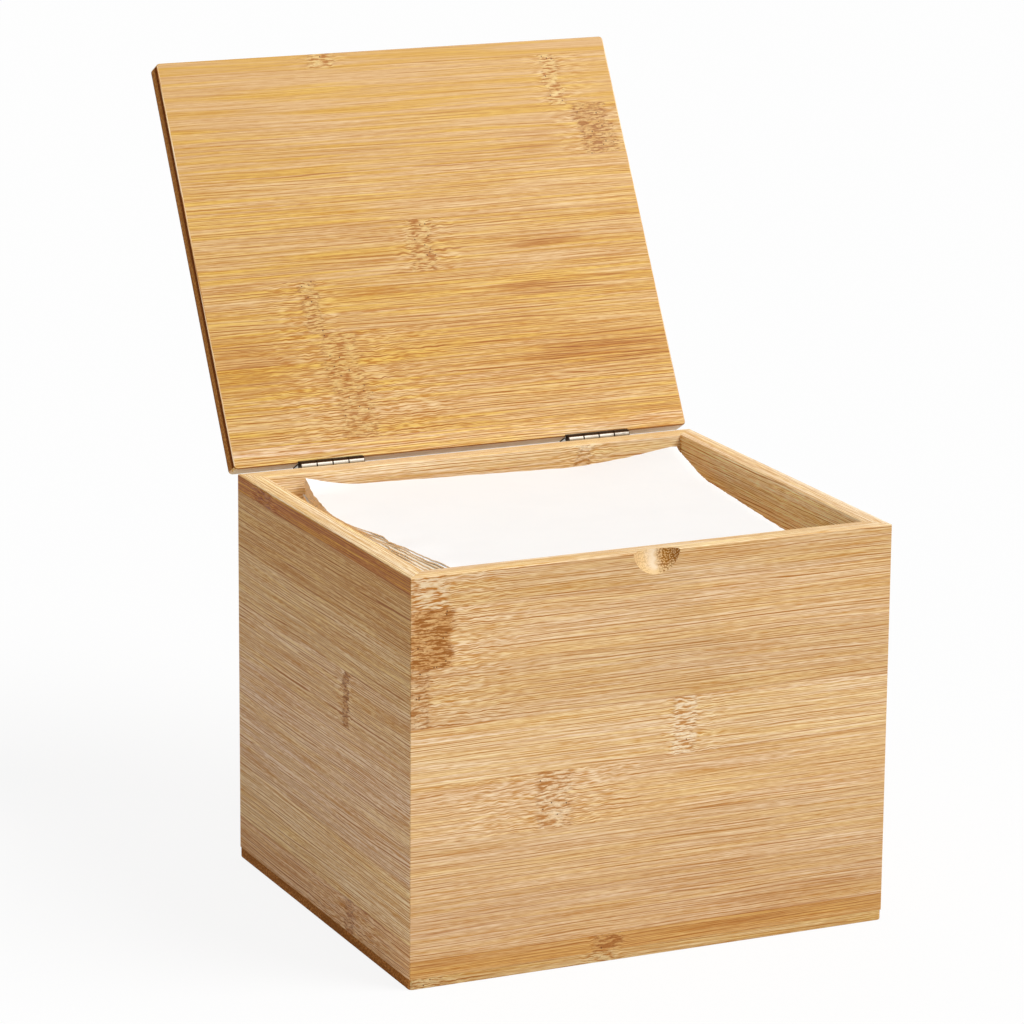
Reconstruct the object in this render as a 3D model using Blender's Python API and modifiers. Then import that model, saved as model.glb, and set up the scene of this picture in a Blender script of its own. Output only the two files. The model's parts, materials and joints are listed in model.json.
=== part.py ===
# Bamboo tissue box: four mitred walls on a base board, and a lid on two butt hinges.
# The lid leans open on its stop, as it stands while tissues are taken out.
# Metres, +Z up. X runs along the front wall and Y from the front to the back.
# The origin is the middle of the underside of the base board.
import math

import bmesh
import bpy

# Box boards
box_width = 0.185
box_depth = 0.158
rim_height = 0.147
wall_thickness = 0.008
base_thickness = 0.0037
lid_thickness = 0.007
seat_gap = 0.0003
eased_edge = 0.0005
panel_corner_round = 0.0015

# Finger scoop in the front wall, the dish that a round cutter leaves
scoop_cutter_radius = 0.015
scoop_half_width = 0.009
scoop_centre_rise = 0.0006

# Folded tissues
tissue_turn_deg = 5.8
room_left = 0.0019
room_right = 0.0102
room_front = 0.001
room_back = 0.002
tissue_headroom = 0.005
top_tissue_thickness = 0.0009
bundle_count = 10
bundle_bulge = 0.0003
sheet_cells = 16

# Corners of the tissues that stand up: the rise, and how far it reaches along X and Y
curl_depth = 0.016
curl_power = 1.5
back_left_curl_rise = 0.0035
back_left_curl_reach_x = 0.020
back_left_curl_reach_y = 0.024
back_right_curl_rise = 0.0044
back_right_curl_reach_x = 0.044
back_right_curl_reach_y = 0.034
front_left_curl_rise = 0.0022
front_left_curl_reach_x = 0.020
front_left_curl_reach_y = 0.060

# Hinges
hinge_length = 0.0254
hinge_inset = 0.0253
knuckle_count = 4
knuckle_gap = 0.0003
barrel_radius = 0.0017
pin_radius = 0.0008
pin_clearance = 0.00008
pin_end_chamfer = 0.0002
leaf_thickness = 0.0008
leaf_margin = 0.0004
leaf_running_gap = 0.0003
lid_open_deg = 119.3

# Hinge screws
screw_head_radius = 0.0015
screw_head_dome = 0.0002
dome_shoulder_radius_share = 0.6
dome_shoulder_height_share = 0.7
screw_head_cone = 0.0006
screw_shank_radius = 0.0009
screw_length = 0.0055
screw_point = 0.0018
screw_inset = 0.0057
screw_clearance = 0.00015
recess_width = 0.0004
recess_depth = 0.0003
overrun = 0.001
weld_distance = 0.00001

# How finely round shapes are divided, and which edges count as sharp
round_sides = 24
screw_sides = 20
scoop_sides = 64
scoop_rings = 32
bevel_angle_deg = 60
crease_angle_deg = 35
parallel_enough = 0.9

# Places worked out from the sizes above
wall_foot = base_thickness + seat_gap
inner_width = box_width - 2 * wall_thickness
inner_depth = box_depth - 2 * wall_thickness
axis_offset = seat_gap + barrel_radius
axis_y = box_depth / 2 + axis_offset
leaf_reach = seat_gap + lid_thickness - leaf_margin
knuckle_pitch = (hinge_length + knuckle_gap) / knuckle_count
screw_drop = (leaf_reach + barrel_radius) / 2
leaf_face = leaf_thickness - barrel_radius
quarter_turn = math.pi / 2

bamboo_front = (0.72, 0.50, 0.27)
bamboo_side = (0.58, 0.42, 0.24)
bamboo_inner = (0.78, 0.60, 0.37)
hinge_metal = (0.52, 0.44, 0.33)
pin_metal = (0.60, 0.55, 0.46)
tissue_white = (0.96, 0.94, 0.92)

for old_object in list(bpy.data.objects):
    bpy.data.objects.remove(old_object)
box_parts = bpy.data.collections.new("tissue_box")
cutters = bpy.data.collections.new("cutters")
bpy.context.scene.collection.children.link(box_parts)
bpy.context.scene.collection.children.link(cutters)


def finish(name, colour, roughness, metallic):
    surface = bpy.data.materials.new(name + "_finish")
    surface.use_nodes = True
    shader = surface.node_tree.nodes["Principled BSDF"]
    shader.inputs["Base Color"].default_value = (*colour, 1)
    shader.inputs["Roughness"].default_value = roughness
    shader.inputs["Metallic"].default_value = metallic
    return surface


def mesh_of(shape, name):
    bmesh.ops.recalc_face_normals(shape, faces=shape.faces)
    mesh = bpy.data.meshes.new(name)
    shape.to_mesh(mesh)
    shape.free()
    return mesh


def add_part(name, mesh, colour, roughness=0.6, metallic=0.0, parent=None):
    part = bpy.data.objects.new(name, mesh)
    box_parts.objects.link(part)
    part.data.materials.append(finish(name, colour, roughness, metallic))
    part.parent = parent
    return part


def add_copy(name, pattern, colour, parent=None):
    return add_part(name, pattern.copy(), colour, roughness=0.35, metallic=1.0, parent=parent)


def add_cutter(name, mesh, parent=None):
    cutter = bpy.data.objects.new(name, mesh)
    cutters.objects.link(cutter)
    cutter.hide_render = True
    cutter.display_type = "WIRE"
    cutter.parent = parent
    return cutter


def boolean(part, tool, operation="DIFFERENCE"):
    step = part.modifiers.new(tool.name, "BOOLEAN")
    step.operation = operation
    step.solver = "EXACT"
    step.object = tool


def block(size, centre):
    shape = bmesh.new()
    bmesh.ops.create_cube(shape, size=1)
    bmesh.ops.scale(shape, vec=size, verts=shape.verts)
    bmesh.ops.translate(shape, vec=centre, verts=shape.verts)
    return shape


def round_bar(radius, length, end_radius=None):
    shape = bmesh.new()
    far_radius = radius if end_radius is None else end_radius
    bmesh.ops.create_cone(
        shape, cap_ends=True, segments=round_sides, radius1=radius, radius2=far_radius, depth=length
    )
    return shape


def baked(part, name):
    # Takes the evaluated mesh of a pattern piece, for copies that share its shape.
    layer = bpy.context.view_layer
    layer.update()
    mesh = bpy.data.meshes.new_from_object(part.evaluated_get(layer.depsgraph))
    mesh.name = name
    bpy.data.objects.remove(part)
    return mesh


def weight_edges(shape, chosen):
    weights = shape.edges.layers.float.new("bevel_weight_edge")
    for edge in shape.edges:
        if chosen((edge.verts[1].co - edge.verts[0].co).normalized()):
            edge[weights] = 1.0


def ease(part, width, segments, limit):
    bevel = part.modifiers.new("eased_" + limit.lower(), "BEVEL")
    bevel.width = width
    bevel.segments = segments
    bevel.limit_method = limit
    bevel.angle_limit = math.radians(bevel_angle_deg)


def add_wall(name, length, outer_distance, turn, colour):
    # One board, its outer face towards -Y before it is turned into place.
    # Its ends are mitred, and each stands half a glue gap back from the mitre plane.
    height = rim_height - wall_foot
    middle_y = wall_thickness / 2 - outer_distance
    shape = block((length, wall_thickness, height), (0, middle_y, height / 2))
    mitre_relief = seat_gap / math.sqrt(2)
    for corner in shape.verts:
        side = math.copysign(1, corner.co.x)
        set_back = wall_thickness if corner.co.y > middle_y else 0
        corner.co.x -= side * (set_back + mitre_relief)
    weight_edges(shape, lambda run: abs(run.x) > parallel_enough)
    wall = add_part(name, mesh_of(shape, name), colour)
    wall.location = (0, 0, wall_foot)
    wall.rotation_euler = (0, 0, turn)
    ease(wall, eased_edge, 2, "WEIGHT")
    return wall


def add_panel(name, thickness, centre, colour, parent=None):
    # A full-size board with rounded corners in plan and eased edges.
    shape = block((box_width, box_depth, thickness), (0, 0, 0))
    weight_edges(shape, lambda run: abs(run.z) > parallel_enough)
    panel = add_part(name, mesh_of(shape, name), colour, parent=parent)
    panel.location = centre
    ease(panel, panel_corner_round, 3, "WEIGHT")
    ease(panel, eased_edge, 2, "ANGLE")
    return panel


def cut_scoop(front_wall):
    shape = bmesh.new()
    bmesh.ops.create_uvsphere(
        shape, u_segments=scoop_sides, v_segments=scoop_rings, radius=scoop_cutter_radius
    )
    cutter = add_cutter("scoop_cutter", mesh_of(shape, "scoop_cutter"))
    reach = math.sqrt(scoop_cutter_radius**2 - scoop_half_width**2)
    cutter.location = (0, -box_depth / 2 - reach, rim_height + scoop_centre_rise)
    boolean(front_wall, cutter)


def tissue_size():
    # The largest rectangle, turned in the box, that keeps the room named for each wall.
    turn = math.radians(tissue_turn_deg)
    span_x = inner_width - room_left - room_right
    span_y = inner_depth - room_front - room_back
    width = (span_x * math.cos(turn) - span_y * math.sin(turn)) / math.cos(2 * turn)
    depth = (span_y * math.cos(turn) - span_x * math.sin(turn)) / math.cos(2 * turn)
    return width, depth


def corner_curl(x, y, width, depth):
    # How far the sheets stand up at x, y. Each corner is given by its side and end of the stack.
    curls = (
        (-1, 1, back_left_curl_rise, back_left_curl_reach_x, back_left_curl_reach_y),
        (1, 1, back_right_curl_rise, back_right_curl_reach_x, back_right_curl_reach_y),
        (-1, -1, front_left_curl_rise, front_left_curl_reach_x, front_left_curl_reach_y),
    )
    lift = 0.0
    for side, end, rise, reach_x, reach_y in curls:
        from_side = max(0.0, 1 - (width / 2 - side * x) / reach_x)
        from_end = max(0.0, 1 - (depth / 2 - end * y) / reach_y)
        lift += rise * (from_side * from_end) ** curl_power
    return lift


def place_tissues(part, foot):
    part.location = ((room_left - room_right) / 2, (room_front - room_back) / 2, foot)
    part.rotation_euler = (0, 0, -math.radians(tissue_turn_deg))


def divide_level(shape):
    # Divides a block into cells in plan, and gives back its upright edges.
    level = [edge for edge in shape.edges if edge.verts[0].co.z == edge.verts[1].co.z]
    bmesh.ops.subdivide_edges(shape, edges=level, cuts=sheet_cells - 1, use_grid_fill=True)
    return [edge for edge in shape.edges if edge.verts[0].co.z != edge.verts[1].co.z]


def add_tissue_stack():
    # The pile below the top tissue, its sides bulging a little at each folded bundle.
    width, depth = tissue_size()
    height = rim_height - tissue_headroom - top_tissue_thickness - seat_gap - wall_foot
    shape = block((width - 2 * bundle_bulge, depth - 2 * bundle_bulge, height), (0, 0, height / 2))
    upright_edges = divide_level(shape)
    bmesh.ops.subdivide_edges(shape, edges=upright_edges, cuts=2 * bundle_count - 1)
    for point in shape.verts:
        x, y, z = point.co
        bulge = bundle_bulge * abs(math.sin(math.pi * bundle_count * z / height))
        if abs(x) > width / 2 - 2 * bundle_bulge:
            point.co.x += math.copysign(bulge, x)
        if abs(y) > depth / 2 - 2 * bundle_bulge:
            point.co.y += math.copysign(bulge, y)
        share = max(0.0, 1 - (height - z) / curl_depth)
        point.co.z += share * corner_curl(x, y, width, depth)
    stack = add_part("tissue_stack", mesh_of(shape, "tissue_stack"), tissue_white, roughness=0.9)
    place_tissues(stack, wall_foot)


def add_top_tissue():
    width, depth = tissue_size()
    shape = block((width, depth, top_tissue_thickness), (0, 0, top_tissue_thickness / 2))
    divide_level(shape)
    for point in shape.verts:
        point.co.z += corner_curl(point.co.x, point.co.y, width, depth)
    sheet = add_part("top_tissue", mesh_of(shape, "top_tissue"), tissue_white, roughness=0.9)
    place_tissues(sheet, rim_height - tissue_headroom - top_tissue_thickness)


def knuckle_start(index):
    return index * knuckle_pitch - hinge_length / 2


def lay_along_x(tool, middle_x=0.0):
    tool.rotation_euler = (0, quarter_turn, 0)
    tool.location.x = middle_x


def leaf_pattern():
    # One leaf with its pin line on the X axis, the wood towards -Y and the plate hanging down.
    # It carries every second knuckle, and the plate is notched clear of the other leaf's.
    size = (hinge_length, leaf_thickness, leaf_reach)
    shape = block(size, (0, leaf_face - leaf_thickness / 2, -leaf_reach / 2))
    plate = add_part("leaf", mesh_of(shape, "leaf"), hinge_metal)
    notch_depth = math.sqrt((barrel_radius + leaf_running_gap) ** 2 - leaf_face**2)
    knuckle_length = knuckle_pitch - knuckle_gap
    tools = []
    for index in range(1, knuckle_count, 2):
        start = knuckle_start(index) - knuckle_gap
        end = knuckle_start(index + 1) + (overrun if index == knuckle_count - 1 else 0)
        notch = block(
            (end - start, 2 * barrel_radius + 2 * overrun, notch_depth + overrun),
            ((start + end) / 2, 0, (overrun - notch_depth) / 2),
        )
        tools.append(add_cutter("leaf_notch", mesh_of(notch, "leaf_notch")))
        boolean(plate, tools[-1])
    for index in range(0, knuckle_count, 2):
        barrel = round_bar(barrel_radius, knuckle_length)
        tools.append(add_cutter("knuckle", mesh_of(barrel, "knuckle")))
        lay_along_x(tools[-1], knuckle_start(index) + knuckle_length / 2)
        boolean(plate, tools[-1], "UNION")
    bore = round_bar(pin_radius + pin_clearance, hinge_length + 2 * overrun)
    tools.append(add_cutter("pin_bore", mesh_of(bore, "pin_bore")))
    lay_along_x(tools[-1])
    boolean(plate, tools[-1])
    for x in screw_places():
        tools += leaf_hole_cutters(plate, x)
    mesh = baked(plate, "hinge_leaf")
    for tool in tools:
        bpy.data.objects.remove(tool)
    return mesh


def screw_places():
    reach = hinge_length / 2 - screw_inset
    return -reach, reach


def leaf_hole_cutters(plate, x):
    # A clearance hole through the plate, opened out to a cone for the screw's head.
    hole_radius = screw_shank_radius + screw_clearance
    head_radius = screw_head_radius + screw_clearance
    slope = (head_radius - hole_radius) / screw_head_cone
    hole = add_cutter(
        "leaf_hole", mesh_of(round_bar(hole_radius, leaf_thickness + 2 * overrun), "leaf_hole")
    )
    hole.location.y = leaf_face - leaf_thickness / 2
    sink_length = screw_head_cone + overrun
    sink = add_cutter(
        "leaf_sink",
        mesh_of(round_bar(hole_radius, sink_length, head_radius + slope * overrun), "leaf_sink"),
    )
    sink.location.y = leaf_face - screw_head_cone + sink_length / 2
    for tool in (hole, sink):
        tool.rotation_euler = (-quarter_turn, 0, 0)
        tool.location.x = x
        tool.location.z = -screw_drop
        boolean(plate, tool)
    return [hole, sink]


def screw_pattern():
    # A turned countersunk screw on the Z axis, its head's rim at height zero, with a cross recess.
    profile = (
        (0, screw_head_dome),
        (dome_shoulder_radius_share * screw_head_radius, dome_shoulder_height_share * screw_head_dome),
        (screw_head_radius, 0),
        (screw_shank_radius, -screw_head_cone),
        (screw_shank_radius, screw_point - screw_length),
        (0, -screw_length),
    )
    shape = bmesh.new()
    points = [shape.verts.new((radius, 0, height)) for radius, height in profile]
    for upper, lower in zip(points, points[1:]):
        shape.edges.new((upper, lower))
    mesh = bpy.data.meshes.new("screw")
    shape.to_mesh(mesh)
    shape.free()
    screw = add_part("screw", mesh, pin_metal)
    turning = screw.modifiers.new("turned", "SCREW")
    turning.steps = screw_sides
    turning.render_steps = screw_sides
    turning.use_merge_vertices = True
    turning.merge_threshold = weld_distance
    turning.use_smooth_shade = False
    span = screw_head_radius
    tools = []
    for size in ((span, recess_width), (recess_width, span)):
        bar = block((*size, 2 * recess_depth), (0, 0, screw_head_dome))
        tools.append(add_cutter("recess", mesh_of(bar, "recess")))
        boolean(screw, tools[-1])
    pattern = baked(screw, "hinge_screw")
    for tool in tools:
        bpy.data.objects.remove(tool)
    return pattern


def pin_pattern():
    bar = add_part("pin", mesh_of(round_bar(pin_radius, hinge_length), "pin"), pin_metal)
    ease(bar, pin_end_chamfer, 2, "ANGLE")
    return baked(bar, "hinge_pin")


def cut_pilot(board, x, y, z, parent=None):
    # The screw's hole in a board, closed at its inner end.
    depth = screw_length - leaf_thickness
    length = depth + overrun
    bar = round_bar(screw_shank_radius + screw_clearance, length)
    pilot = add_cutter(board.name + "_pilot", mesh_of(bar, "pilot"), parent)
    pilot.rotation_euler = (quarter_turn, 0, 0)
    pilot.location = (x, y - depth + length / 2, z)
    boolean(board, pilot)


def add_hinge(side_name, centre_x, patterns, back_wall, lid_board, lid_axis):
    leaf, pin, screw = patterns
    name = side_name + "_hinge_"
    wall_leaf = add_copy(name + "wall_leaf", leaf, hinge_metal)
    wall_leaf.location = (centre_x, axis_y, rim_height)
    lid_leaf = add_copy(name + "lid_leaf", leaf, hinge_metal, lid_axis)
    lid_leaf.location = (centre_x, 0, 0)
    lid_leaf.rotation_euler = (0, math.pi, 0)
    hinge_pin = add_copy(name + "pin", pin, pin_metal)
    hinge_pin.location = (centre_x, axis_y, rim_height)
    hinge_pin.rotation_euler = (0, quarter_turn, 0)
    for number, x in enumerate(screw_places(), start=1):
        wall_screw = add_copy(f"{name}wall_screw_{number}", screw, pin_metal)
        wall_screw.location = (centre_x + x, axis_y + leaf_face, rim_height - screw_drop)
        wall_screw.rotation_euler = (-quarter_turn, 0, 0)
        cut_pilot(back_wall, centre_x + x, box_depth / 2, rim_height - screw_drop)
        lid_screw = add_copy(f"{name}lid_screw_{number}", screw, pin_metal, lid_axis)
        lid_screw.location = (centre_x + x, leaf_face, screw_drop)
        lid_screw.rotation_euler = (-quarter_turn, 0, 0)
        cut_pilot(lid_board, centre_x + x, -axis_offset, screw_drop, lid_axis)


def build_box():
    add_panel("base_board", base_thickness, (0, 0, base_thickness / 2), bamboo_front)
    front_wall = add_wall("front_wall", box_width, box_depth / 2, 0, bamboo_front)
    cut_scoop(front_wall)
    add_wall("right_wall", box_depth, box_width / 2, quarter_turn, bamboo_side)
    add_wall("left_wall", box_depth, box_width / 2, -quarter_turn, bamboo_side)
    return add_wall("back_wall", box_width, box_depth / 2, math.pi, bamboo_inner)


def build_lid():
    # The lid is laid out closed, and the empty on the pin line turns it open.
    lid_axis = bpy.data.objects.new("lid_axis", None)
    box_parts.objects.link(lid_axis)
    lid_axis.location = (0, axis_y, rim_height)
    lid_axis.rotation_euler = (-math.radians(lid_open_deg), 0, 0)
    centre = (0, -axis_offset - box_depth / 2, seat_gap + lid_thickness / 2)
    return add_panel("lid_board", lid_thickness, centre, bamboo_front, lid_axis), lid_axis


back_wall = build_box()
lid_board, lid_axis = build_lid()
add_tissue_stack()
add_top_tissue()
hinge_patterns = (leaf_pattern(), pin_pattern(), screw_pattern())
hinge_x = box_width / 2 - hinge_inset - hinge_length / 2
for hinge_side, hinge_centre in (("left", -hinge_x), ("right", hinge_x)):
    add_hinge(hinge_side, hinge_centre, hinge_patterns, back_wall, lid_board, lid_axis)
for part in box_parts.objects:
    if part.type == "MESH":
        part.data.shade_smooth()
        part.data.set_sharp_from_angle(angle=math.radians(crease_angle_deg))
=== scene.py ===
# Bamboo tissue box with its lid leaning open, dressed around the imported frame.
# Metres, +Z up. X runs along the front wall, Y from the front to the back, as in the frame.
import json
import math

import bmesh
import bpy
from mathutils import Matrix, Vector, noise


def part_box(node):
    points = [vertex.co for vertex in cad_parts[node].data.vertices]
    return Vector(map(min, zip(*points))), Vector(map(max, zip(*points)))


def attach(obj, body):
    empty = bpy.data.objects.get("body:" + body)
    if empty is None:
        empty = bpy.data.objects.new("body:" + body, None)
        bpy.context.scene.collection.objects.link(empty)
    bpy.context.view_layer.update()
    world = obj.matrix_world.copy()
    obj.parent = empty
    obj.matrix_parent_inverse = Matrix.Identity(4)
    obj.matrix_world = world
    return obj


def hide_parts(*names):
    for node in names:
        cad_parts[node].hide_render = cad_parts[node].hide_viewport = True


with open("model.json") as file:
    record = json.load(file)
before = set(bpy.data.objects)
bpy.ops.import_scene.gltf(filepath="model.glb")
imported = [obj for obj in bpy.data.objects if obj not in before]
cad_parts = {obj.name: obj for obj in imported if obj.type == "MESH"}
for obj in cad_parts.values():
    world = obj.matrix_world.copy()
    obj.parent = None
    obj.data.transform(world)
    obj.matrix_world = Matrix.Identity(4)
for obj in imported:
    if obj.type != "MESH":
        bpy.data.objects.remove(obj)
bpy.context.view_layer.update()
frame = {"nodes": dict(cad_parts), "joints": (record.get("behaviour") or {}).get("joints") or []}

# The camera: a long lens under two metres away, a little left of the front and above the rim.
# Its place and turn were solved from the box's own edges, so the frame needs no shift.
camera_place = (-0.70035, -1.47027, 0.55966)
camera_turn_deg = (75.611, -0.452, -24.765)
lens_mm, sensor_mm = 164.66, 36
camera_turn = [math.radians(angle) for angle in camera_turn_deg]
bpy.ops.object.camera_add(location=camera_place, rotation=camera_turn)
camera = bpy.context.object
camera.data.lens = lens_mm
camera.data.sensor_width = sensor_mm
bpy.context.scene.camera = camera

# Base board: a thin pressed bamboo panel, flush with the walls and glued under them.
# Strips of cane lie side by side in it with their grain along the front, and are sawn across
# at the sides.
strip_width = 0.0208
base_corner_round = 0.0015
foot_edge_round = 0.0005
glue_edge_round = 0.0001
flat_angle = math.radians(30)

# Colours of the cane under clear lacquer, from the darkest fibres to the palest
pinhole_brown = (0.10, 0.030, 0.004)
burnt_fibre = (0.20, 0.075, 0.015)
nick_brown = (0.30, 0.095, 0.005)
line_brown = (0.42, 0.150, 0.016)
amber_brown = (0.45, 0.150, 0.005)
dark_fibre = (0.56, 0.260, 0.060)
warm_fibre = (0.63, 0.365, 0.145)
ground_fibre = (0.71, 0.450, 0.210)
pale_fibre = (0.79, 0.545, 0.290)
cream_fibre = (0.87, 0.650, 0.370)
bleached_fibre = (0.92, 0.760, 0.510)
fibre_colours = (
    (0.34, dark_fibre), (0.43, warm_fibre), (0.50, ground_fibre), (0.58, pale_fibre), (0.68, cream_fibre),
)
knot_colours = ((0.38, ground_fibre), (0.48, pale_fibre), (0.58, cream_fibre), (0.68, bleached_fibre))
rosy, honey, toasted_and_shade = (1.005, 1.02, 1.12), (0.99, 0.955, 0.77), (0.76, 0.57, 0.32)

# Colours of the sawn ends, between the fibre bundles and about them
end_brown, end_tan = (0.30, 0.130, 0.035), (0.42, 0.200, 0.070)

# The tints by which the strips are sorted before they are glued
pale_lot = (1.07, 1.12, 1.22)
plain_lot = (1.02, 1.02, 1.05)
tan_lot = (0.96, 0.95, 0.96)
golden_lot = (0.86, 0.85, 0.70)
dull_lot = (0.90, 0.87, 0.88)
rosy_lot = (0.96, 0.93, 1.00)
honey_lot = (0.79, 0.66, 0.42)
amber_lot = (0.89, 0.83, 0.70)
russet_lot = (0.92, 0.87, 0.83)
mellow_lot = (1.02, 1.0, 0.93)
warm_lot = (0.94, 0.81, 0.69)
deep_lot = (0.79, 0.65, 0.41)
dark_lot = (0.76, 0.49, 0.04)
end_lot = (1.40, 1.24, 0.98)

# Length and width of the fibres, and of the streaks in which they change colour
long_fibre, fine_fibre, short_fibre = (0.090, 0.00085), (0.050, 0.00036), (0.0045, 0.00027)
wide_streak, narrow_streak, tint_cloud = (0.080, 0.0026), (0.060, 0.0012), (0.12, 0.009)
stain_and_shade_streak = (0.08, 0.0010)
wander, wander_reach = (0.060, 0.009), 0.0011
fibre_relief = 0.00004

# Single dark fibres: how far apart they lie, how long they are, half their width, and how dark
single_fibres = (
    (0.00066, 0.012, 0.00015, 0.60), (0.00140, 0.030, 0.00020, 0.95), (0.00420, 0.100, 0.00020, 0.85),
)
row_wander_length, row_wander_most = 0.15, 0.006

# Length and width of the marks in a knot, and how far its edges and its fibres run out of line
ripple_fibre, knot_stroke, knot_patch = (0.0050, 0.00040), (0.0044, 0.00056), (0.0050, 0.0011)
long_nick, short_nick, nick_cloud = (0.0022, 0.0011), (0.0012, 0.0008), (0.0040, 0.0018)
pinhole_cell, pinhole_cloud = (0.0036, 0.0036), (0.004, 0.004)
ripple_wave, wave_reach = (0.0036, 0.004), 0.0012
fine_jag, coarse_jag, jag_reach = (0.5, 0.0006), (0.5, 0.0045), 0.006
knot_border_from, knot_border_to = 0.0004, 0.0016

# How far the pattern jumps from one strip, one single fibre or one row of cells to the next
strip_jump, fibre_jump, cell_jump = 17.3, 5.3, 0.37

# Width and height of a fibre bundle in the sawn ends, and the height in which their shade changes
bundle_width, bundle_height, end_shade_height = 0.0011, 0.0008, 0.004
end_relief = 0.0001


class Tone:
    """A value or colour that varies over a surface. Arithmetic on it adds nodes to its material."""

    def __init__(self, socket):
        self.socket = socket

    def node(self, kind, settings, inputs, output=0):
        """Adds a node of that kind beside this one, and gives back one of its outputs."""
        made = self.socket.id_data.nodes.new(kind)
        for setting, chosen in settings.items():
            if setting == "stops":
                ramp = made.color_ramp.elements
                while len(ramp) < len(chosen):
                    ramp.new(1.0)
                for stop, (at, colour) in zip(ramp, chosen):
                    stop.position = at
                    stop.color = (*colour, 1.0)
            elif setting == "steps":
                made.color_ramp.interpolation = chosen
            else:
                setattr(made, setting, chosen)
        for name, value in inputs.items():
            if isinstance(value, Tone):
                self.socket.id_data.links.new(value.socket, made.inputs[name])
            else:
                made.inputs[name].default_value = value
        return Tone(made.outputs[output])

    def math(self, operation, first, second=0.0):
        return self.node("ShaderNodeMath", {"operation": operation}, {0: first, 1: second})

    def __add__(self, other):
        return self.math("ADD", self, other)

    def __sub__(self, other):
        return self.math("SUBTRACT", self, other)

    def __rsub__(self, other):
        return self.math("SUBTRACT", other, self)

    def __mul__(self, other):
        return self.math("MULTIPLY", self, other)

    def __truediv__(self, other):
        return self.math("DIVIDE", self, other)

    __radd__ = __add__
    __rmul__ = __mul__

    def size(self):
        return self.math("ABSOLUTE", self)

    def step(self):
        return self.math("FLOOR", self)

    def power(self, exponent):
        return self.math("POWER", self, exponent)

    def at_most(self, limit):
        return self.math("MINIMUM", self, limit)

    def matches(self, number):
        return self.node("ShaderNodeMath", {"operation": "COMPARE"}, {0: self, 1: number, 2: 0.5})

    def fade(self, start, end):
        """Goes smoothly from 0 at start to 1 at end."""
        inputs = {"Value": self, "From Min": start, "From Max": end}
        return self.node("ShaderNodeMapRange", {"interpolation_type": "SMOOTHSTEP"}, inputs)

    def part(self, axis):
        """One coordinate of a place or a direction, by its letter."""
        return self.node("ShaderNodeSeparateXYZ", {}, {0: self}, "XYZ".index(axis))

    def cloud(self, scale=1.0, detail=2.0):
        """Soft noise over a place."""
        return self.node("ShaderNodeTexNoise", {}, {"Vector": self, "Scale": scale, "Detail": detail})

    def cells(self):
        """How far a place is from the middle of the nearest of many cells that are about 1 wide."""
        settings = {"voronoi_dimensions": "2D"}
        return self.node("ShaderNodeTexVoronoi", settings, {"Vector": self, "Scale": 1.0})

    def ramp(self, *stops, steps="LINEAR"):
        return self.node("ShaderNodeValToRGB", {"stops": stops, "steps": steps}, {"Fac": self})

    def mixed(self, other, share, blend="MIX"):
        """This colour with that share of the other one over it, through the colour sockets of Mix."""
        first = self if isinstance(self, Tone) else (*self, 1.0)
        second = other if isinstance(other, Tone) else (*other, 1.0)
        settings = {"data_type": "RGBA", "blend_type": blend}
        return self.node("ShaderNodeMix", settings, {0: share, 6: first, 7: second}, 2)

    def feeds(self, shader, name):
        self.socket.id_data.links.new(self.socket, shader.inputs[name])

    def raises(self, shader, strength, distance):
        """Makes the surface stand proud where this is high."""
        inputs = {"Strength": strength, "Distance": distance, "Height": self}
        self.node("ShaderNodeBump", {}, inputs).feeds(shader, "Normal")


def point(x, y, z):
    return x.node("ShaderNodeCombineXYZ", {}, {0: x, 1: y, 2: z})


def new_finish(name, laid=None):
    """A new material: its shader, and the place on the piece, put back as it lay when closed."""
    finish = bpy.data.materials.new(name)
    finish.use_nodes = True
    tree = finish.node_tree
    place = Tone(tree.nodes.new("ShaderNodeTexCoord").outputs["Object"])
    if laid:
        inputs = {"Vector": place, "Location": laid[0], "Rotation": laid[1]}
        place = place.node("ShaderNodeMapping", {}, inputs)
    return finish, tree.nodes["Principled BSDF"], place


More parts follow.
